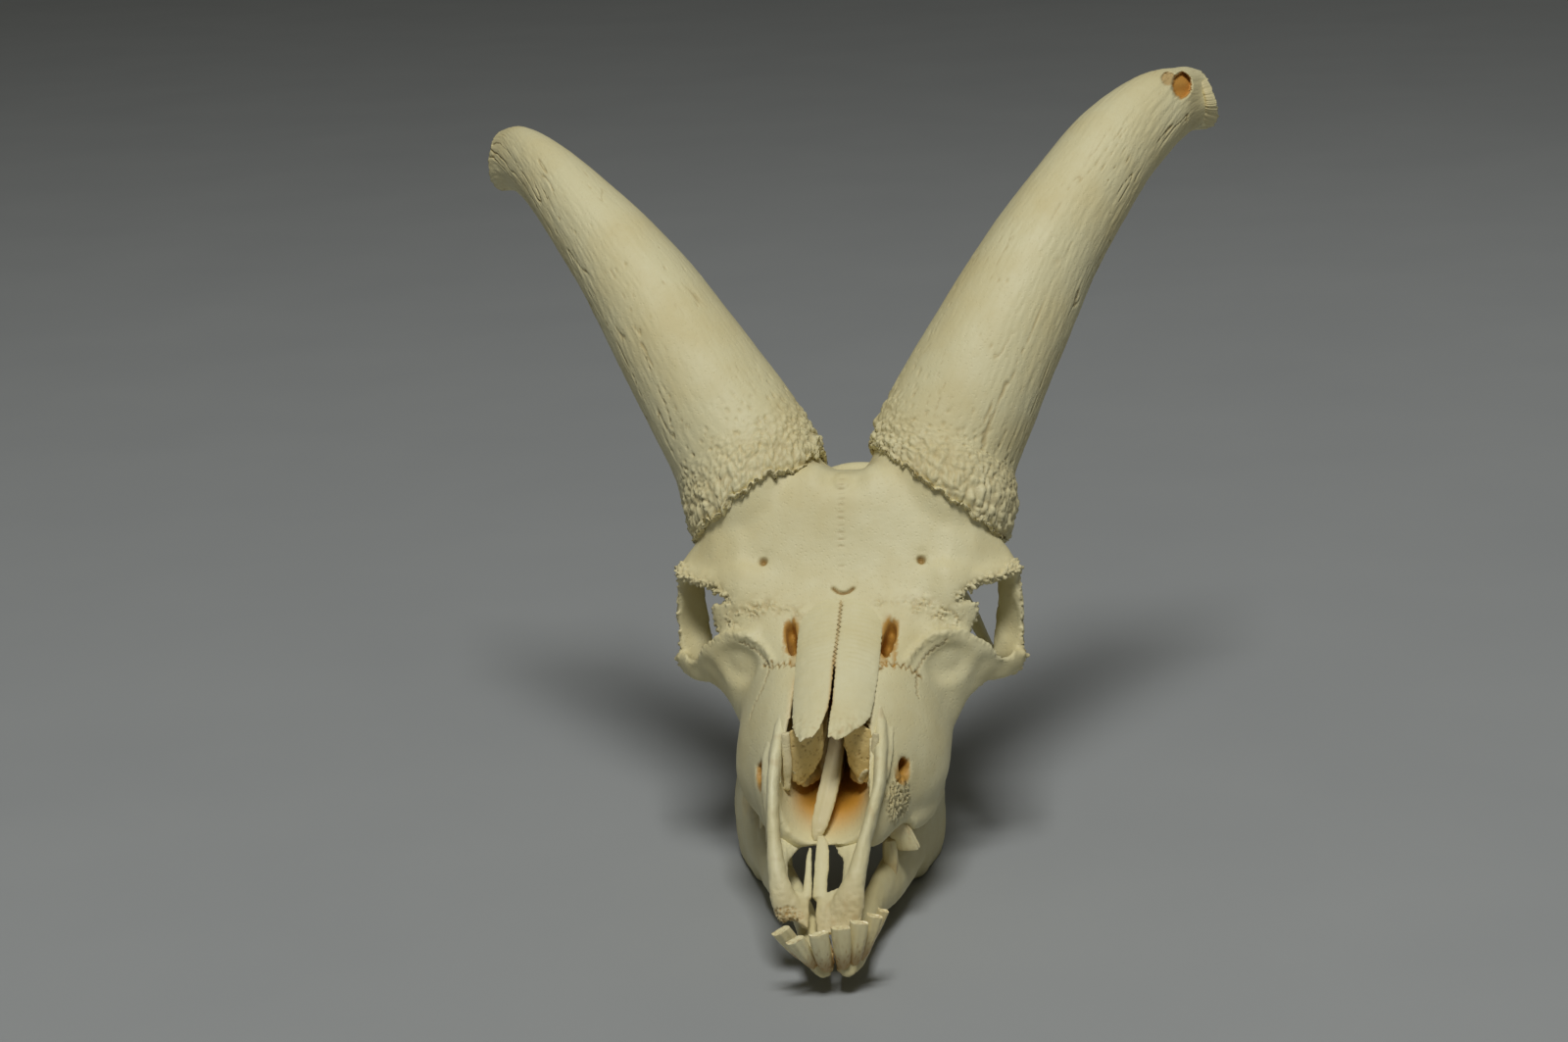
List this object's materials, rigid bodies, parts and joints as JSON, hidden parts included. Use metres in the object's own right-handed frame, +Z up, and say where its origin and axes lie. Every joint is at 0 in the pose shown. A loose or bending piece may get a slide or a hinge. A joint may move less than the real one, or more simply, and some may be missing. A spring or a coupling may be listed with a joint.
{
  "type": "ibex skull",
  "caption": "Skull of a male ibex with its lower jaw: long nose, open orbits, cheek teeth, and two hollow horn cores that sweep up, out and back to broken ends.",
  "frame": {"origin": "middle of the footprint of the whole skull, on the floor that the lower jaw rests on", "axes": "+Z up; -Y the way the nose points; +X the animal's left, where the longer horn core is"},
  "size_m": [0.356, 0.3302, 0.3564],
  "materials": {
    "bone": "dry matte cleaned bone, cream with yellow-brown in the pits",
    "nasal_bone": "smooth satin cleaned bone",
    "inner_bone": "thin orange-tan bone inside the nose",
    "jaw_bone": "matte cleaned bone",
    "tooth": "satin enamel, stained yellow at the gum line"
  },
  "bodies": {
    "root": {"cranium": "bone", "nasal_bone_left": "nasal_bone", "nasal_bone_right": "nasal_bone", "premaxilla_left": "nasal_bone", "premaxilla_right": "nasal_bone", "vomer": "inner_bone", "nasal_scroll_upper_left": "inner_bone", "nasal_scroll_upper_right": "inner_bone", "nasal_scroll_lower_left": "inner_bone", "nasal_scroll_lower_right": "inner_bone", "mandible_left": "jaw_bone", "mandible_right": "jaw_bone", "upper_premolar2_left": "tooth", "upper_premolar3_left": "tooth", "upper_premolar4_left": "tooth", "upper_molar1_left": "tooth", "upper_molar2_left": "tooth", "upper_molar3_left": "tooth", "upper_premolar2_right": "tooth", "upper_premolar3_right": "tooth", "upper_premolar4_right": "tooth", "upper_molar1_right": "tooth", "upper_molar2_right": "tooth", "upper_molar3_right": "tooth", "lower_premolar2_left": "tooth", "lower_premolar3_left": "tooth", "lower_premolar4_left": "tooth", "lower_molar1_left": "tooth", "lower_molar2_left": "tooth", "lower_molar3_left": "tooth", "lower_premolar2_right": "tooth", "lower_premolar3_right": "tooth", "lower_premolar4_right": "tooth", "lower_molar1_right": "tooth", "lower_molar2_right": "tooth", "lower_molar3_right": "tooth", "incisor_left_1": "tooth", "incisor_left_2": "tooth", "incisor_left_3": "tooth", "incisor_left_4": "tooth", "incisor_right_1": "tooth", "incisor_right_2": "tooth", "incisor_right_3": "tooth"}
  },
  "joints": []
}
